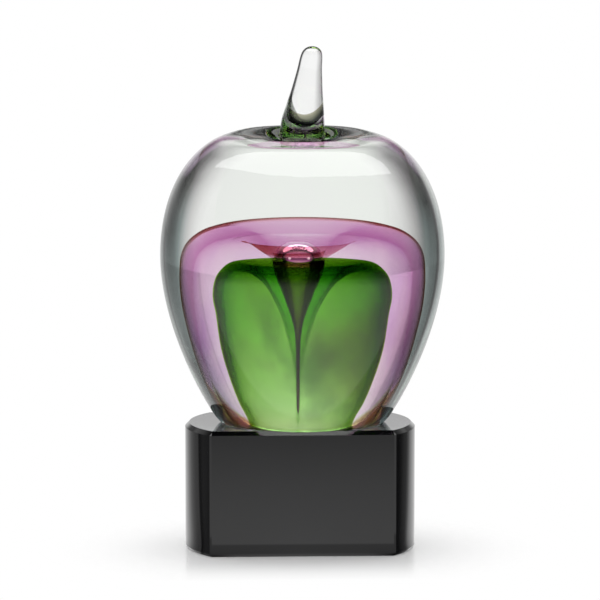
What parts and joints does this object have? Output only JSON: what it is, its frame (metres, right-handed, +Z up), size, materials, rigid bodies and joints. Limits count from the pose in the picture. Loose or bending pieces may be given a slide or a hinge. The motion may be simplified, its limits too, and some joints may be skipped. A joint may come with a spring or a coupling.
{
  "type": "glass apple award",
  "caption": "Solid clear glass apple with nested pink and green glass bells, an air bubble and a clear stem, bonded to a black crystal block with flat front and back.",
  "frame": {"origin": "middle of the block's underside, where the award stands", "axes": "+Z up along the apple's axis, -Y out of the block's bare front flat, +X to the right of someone facing that flat; the stem leans towards +X"},
  "size_m": [0.113, 0.113, 0.1997],
  "materials": {
    "black_crystal": "polished black optical crystal",
    "cured_bond": "clear cured bond, seen as a thin grey film",
    "clear_glass": "fire polished clear glass",
    "pink_glass": "clear pink to lilac glass, unevenly tinted",
    "green_glass": "clear leaf green glass, unevenly tinted"
  },
  "bodies": {
    "root": {"base_block": "black_crystal", "bond_film": "cured_bond", "clear_casing": "clear_glass", "pink_bell": "pink_glass", "clear_middle": "clear_glass", "green_bell": "green_glass", "clear_core": "clear_glass", "stem": "clear_glass"}
  },
  "joints": []
}
